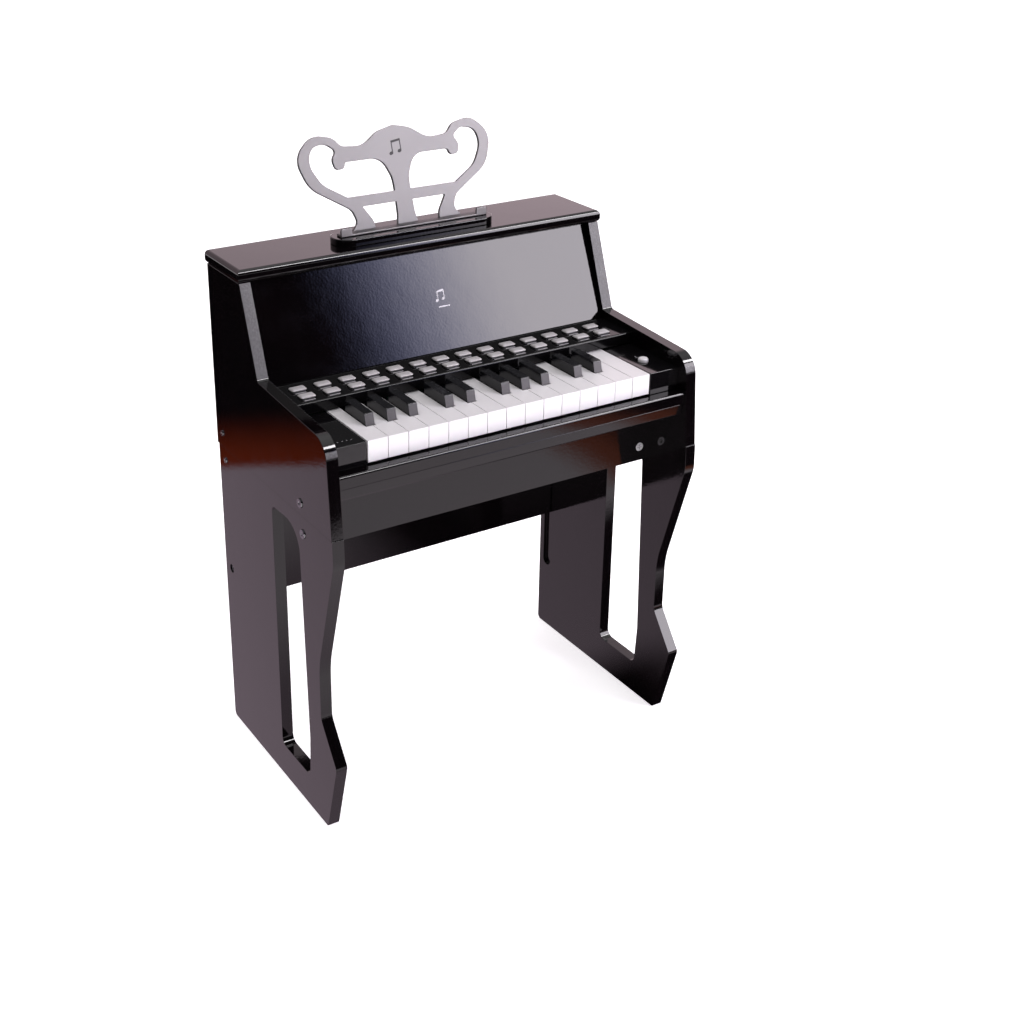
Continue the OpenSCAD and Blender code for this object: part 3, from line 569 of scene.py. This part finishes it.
def pillow_buttons(node):
    """Domed buttons in the place of one CAD group of plain ones."""
    lo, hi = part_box(node)
    cy = (lo[1] + hi[1]) / 2
    rings = [(-FLANGE, lo[2]), (-FLANGE, lo[2] + FLANGE_T), (0.0, lo[2] + FLANGE_T)]
    rings += [(inset, hi[2] - depth) for inset, depth in PILLOW]
    verts, faces = [], []
    for cx in button_middles(node):
        base = len(verts)
        for inset, z in rings:
            outline = rounded_rectangle(BUTTON_W / 2 - inset, BUTTON_L / 2 - inset,
                                        max(BUTTON_R - 0.6 * inset, 0.0006))
            verts += [(cx + x, cy + y, z) for x, y in outline]
        n = len(outline)
        for k in range(len(rings) - 1):
            a, b = base + k * n, base + (k + 1) * n
            faces += [(a + j, a + (j + 1) % n, b + (j + 1) % n, b + j) for j in range(n)]
        faces.append(tuple(base + j for j in reversed(range(n))))
        faces.append(tuple(base + (len(rings) - 1) * n + j for j in range(n)))
    piece = add_piece(node + "_caps", verts, faces, "silicone_grey", node)
    even_shading(piece)
    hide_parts(node)


def flat_mark(name, outlines, origin, right, up, look):
    """Thin printed shapes on a plane through origin, each a closed outline in metres."""
    right, up = Vector(right).normalized(), Vector(up).normalized()
    out = right.cross(up)
    verts, faces = [], []
    for outline in outlines:
        base, n = len(verts), len(outline)
        for height in (0.0, MARK_LIFT):
            verts += [Vector(origin) + right * x + up * y + out * height for x, y in outline]
        faces.append(tuple(base + n + j for j in range(n)))
        faces += [(base + j, base + (j + 1) % n, base + n + (j + 1) % n, base + n + j)
                  for j in range(n)]
    add_piece(name, verts, faces, look, "cabinet", False)


def bar(x0, y0, x1, y1, t):
    """A straight stroke of width t from one point to another."""
    d = Vector((x1 - x0, y1 - y0)).normalized() * t / 2
    return [(x0 - d.y, y0 + d.x), (x0 + d.y, y0 - d.x), (x1 + d.y, y1 - d.x),
            (x1 - d.y, y1 + d.x)]


def oval(cx, cy, a, b, turn):
    """An oval with half sizes a and b, turned about its centre."""
    c, s = math.cos(turn), math.sin(turn)
    turns = [2 * math.pi * k / OVAL_STEPS for k in range(OVAL_STEPS)]
    pts = [(a * math.cos(t), b * math.sin(t)) for t in turns]
    return [(cx + x * c - y * s, cy + x * s + y * c) for x, y in pts]


def two_notes(h):
    """A pair of beamed notes, h tall, about its own centre."""
    w, t = 0.62 * h, 0.07 * h
    foot, top = -0.36 * h, 0.36 * h
    return [oval(-w / 2 - 0.10 * h, foot, 0.15 * h, 0.105 * h, 0.4),
            oval(w / 2 - 0.10 * h, foot + 0.10 * h, 0.15 * h, 0.105 * h, 0.4),
            bar(-w / 2, foot, -w / 2, top, t),
            bar(w / 2, foot + 0.10 * h, w / 2, top + 0.10 * h, t),
            bar(-w / 2 - t / 2, top, w / 2 + t / 2, top + 0.10 * h, 0.14 * h)]


def add_marks():
    """Two notes and a line on the front panel, in the place of the maker's lettering."""
    lo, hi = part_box("front_panel")
    up = Vector((0, hi[1] - PANEL_T - lo[1], hi[2] - lo[2])).normalized()
    foot = Vector((0, lo[1], lo[2]))
    flat_mark("panel_mark", two_notes(PANEL_MARK_H),
              foot + up * PANEL_MARK_UP + Vector((0.0075, 0, 0)), (1, 0, 0), up, "print_white")
    flat_mark("panel_line", [bar(-0.007, 0, 0.007, 0, 0.0012)],
              foot + up * PANEL_LINE_UP + Vector((0.0095, 0, 0)), (1, 0, 0), up, "print_white")


def add_stand_mark():
    """A pair of notes inlaid in the middle of the lyre's face."""
    lo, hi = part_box("stand_lyre")
    up = Vector((0, math.sin(STAND_TILT), math.cos(STAND_TILT)))
    foot = Vector(((lo[0] + hi[0]) / 2, lo[1], lo[2]))
    flat_mark("stand_mark", two_notes(STAND_MARK_H), foot + up * STAND_MARK_UP, (1, 0, 0), up,
              "engraved")


def add_button_marks():
    """A pale dash in front of each button, a sign for the power button, and a row of small
    dashes on the left cheek."""
    dashes = []
    for node in GROUPS:
        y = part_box(node)[0][1] + FLANGE - DASH_AHEAD
        for x in button_middles(node):
            dashes.append(bar(x - DASH_HALF, y, x + DASH_HALF, y, DASH_T))
    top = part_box("button_panel")[1][2]
    flat_mark("button_dashes", dashes, (0, 0, top), (1, 0, 0), (0, 1, 0), "print_grey")
    lo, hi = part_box("power_button")
    x, y = (lo[0] + hi[0]) / 2, hi[1] + 0.0045
    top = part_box("cheek_right")[1][2]
    flat_mark("power_sign", [bar(x, y, x, y + 0.0035, SIGN_T),
                             bar(x - 0.0022, y - 0.0009, x + 0.0022, y - 0.0009, SIGN_T)],
              (0, 0, top), (1, 0, 0), (0, 1, 0), "print_grey")
    lo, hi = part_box("cheek_left")
    x, y = (lo[0] + hi[0]) / 2, lo[1] + 0.012
    flat_mark("cheek_signs", [bar(x - 0.007 + 0.005 * k, y, x - 0.0055 + 0.005 * k, y, 0.0005)
                              for k in range(4)],
              (0, 0, hi[2]), (1, 0, 0), (0, 1, 0), "print_grey")


def screw_head(name, centre, r, normal):
    """A pan-head screw with a cross recess, its head standing on a surface."""
    n = Vector(normal)
    right = n.orthogonal().normalized()
    up = n.cross(right)
    verts, faces = [], []
    count = SCREW_STEPS
    for share, height in SCREW_RINGS:
        for k in range(count):
            a = 2 * math.pi * k / count
            verts.append(Vector(centre) + n * height * r
                         + (right * math.cos(a) + up * math.sin(a)) * share * r)
    for j in range(len(SCREW_RINGS) - 1):
        a, b = j * count, (j + 1) * count
        faces += [(a + k, a + (k + 1) % count, b + (k + 1) % count, b + k)
                  for k in range(count)]
    # The recess: the inner ring drops at the arms of a cross
    base = len(verts)
    for k in range(count):
        a = 2 * math.pi * k / count
        arm = abs(math.sin(2 * a)) < 0.5
        verts.append(Vector(centre) + n * (0.12 if arm else 0.46) * r
                     + (right * math.cos(a) + up * math.sin(a)) * (0.44 if arm else 0.2) * r)
    inner = base - count
    faces += [(inner + k, inner + (k + 1) % count, base + (k + 1) % count, base + k)
              for k in range(count)]
    verts.append(Vector(centre) + n * 0.1 * r)
    faces += [(base + k, base + (k + 1) % count, len(verts) - 1) for k in range(count)]
    add_piece(name, verts, faces, "bolt_metal", "cabinet", False)


def add_back_screws():
    """Six screws in the back panel's rear face."""
    lo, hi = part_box("back_panel")
    spots = [(x, z) for x in (lo[0] + SCREW_INSET, 0.0, hi[0] - SCREW_INSET)
             for z in (lo[2] + SCREW_FOOT, hi[2] - SCREW_INSET)]
    for k, (x, z) in enumerate(spots, 1):
        screw_head("back_screw_%d" % k, (x, hi[1], z), SCREW_R, (0, 1, 0))


add_camera()
add_stage()
dress_nodes()
add_marks()
add_stand_mark()
add_button_marks()
add_back_screws()
for group in GROUPS:
    pillow_buttons(group)
